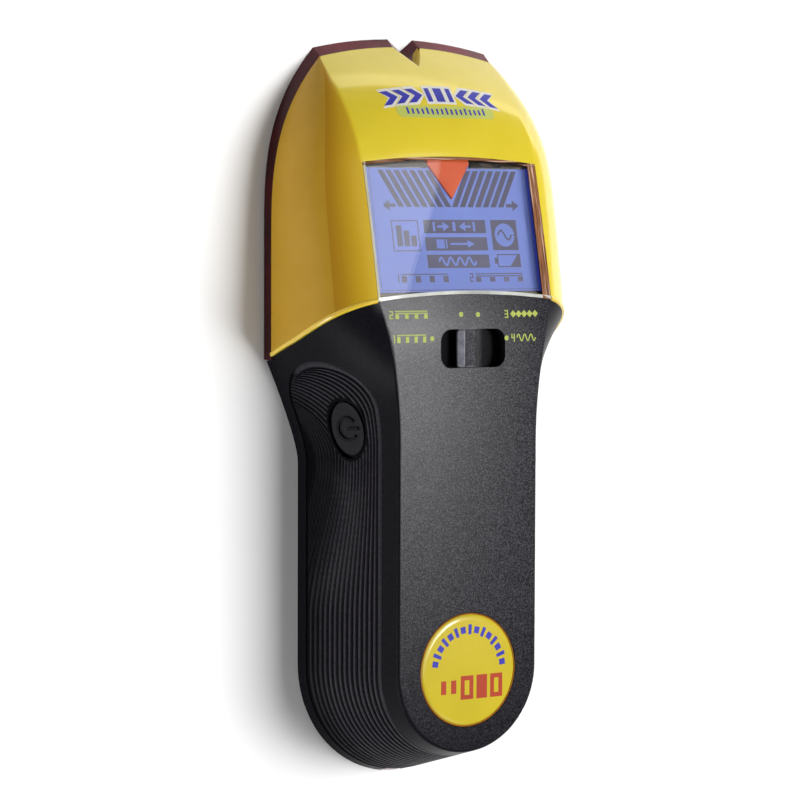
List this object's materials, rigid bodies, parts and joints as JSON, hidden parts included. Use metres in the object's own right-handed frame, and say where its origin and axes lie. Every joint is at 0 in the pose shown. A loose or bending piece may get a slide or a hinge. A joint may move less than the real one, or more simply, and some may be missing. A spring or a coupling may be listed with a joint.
{
  "type": "stud finder",
  "caption": "Handheld wall scanner with flared head, marking notch, lit sloping display, mode slider, side power button, ribbed grip and battery door.",
  "frame": {"origin": "centre of the plan outline's bounding box, on the back face the device rests on", "axes": "+X to the right seen from the front, +Y towards the marking notch, +Z out of the display"},
  "size_m": [0.081, 0.1897, 0.0329],
  "materials": {
    "yellow_gloss": "glossy moulded yellow",
    "black_texture": "spark-eroded dark grey front, satin sides",
    "grip_rubber": "satin ribbed rubber",
    "red_clear": "dark red translucent moulding",
    "clear_window": "clear polished acrylic",
    "foam": "closed-cell foam",
    "lcd": "blue-violet lit display glass",
    "white_diffuser": "white light guide",
    "zebra": "striped conductive rubber",
    "black_frame": "moulded frame",
    "orange_lens": "orange translucent lens",
    "led": "clear moulded body",
    "pcb": "green solder mask",
    "chip": "moulded epoxy",
    "can_metal": "brushed",
    "tin": "tinned sheet",
    "switch_black": "moulded",
    "copper": "bare copper",
    "badge_yellow": "glossy domed disc",
    "battery_case": "printed steel jacket",
    "wire": "insulated wire",
    "screw_steel": "zinc plated"
  },
  "bodies": {
    "body": {"head_cover": "yellow_gloss", "front_housing": "black_texture", "grip": "grip_rubber", "back_housing": "red_clear", "display_window": "clear_window", "window_gasket": "foam", "lcd_glass": "lcd", "lcd_backlight": "white_diffuser", "zebra_strip": "zebra", "lcd_frame": "black_frame", "arrow_lens": "orange_lens", "arrow_led": "led", "main_board": "pcb", "chips": "chip", "capacitors": "can_metal", "shield_can": "tin", "switch_board": "pcb", "mode_switch_body": "switch_black", "power_switch": "switch_black", "buzzer": "switch_black", "board_header": "switch_black", "sensor_board": "pcb", "sensor_plates": "copper", "metal_coil": "copper", "sensor_header": "switch_black", "badge": "badge_yellow", "battery": "battery_case", "battery_terminals": "tin", "battery_clip": "switch_black", "battery_cups": "tin", "battery_leads": "wire", "housing_screws": "screw_steel", "board_screws": "screw_steel"},
    "slider": {"mode_slider": "switch_black"},
    "button": {"power_button": "grip_rubber", "switch_plunger": "switch_black"},
    "door": {"battery_door": "red_clear", "battery_door_pad": "foam"}
  },
  "joints": [
    {"name": "power_press", "type": "slide", "parent": "body", "child": "button", "axis": [0.9157, 0.2009, -0.3479], "range_m": [0, 0.0008], "stiffness_N_per_m": 900, "springref_m": -0.0012},
    {"name": "mode_slide", "type": "slide", "parent": "body", "child": "slider", "axis": [1, 0, 0], "range_m": [-0.0034, 0.0068]},
    {"name": "door_hinge", "type": "hinge", "parent": "body", "child": "door", "pos_m": [0, -0.029, 0.0015], "axis": [1, 0, 0], "range_deg": [0, 90]}
  ]
}
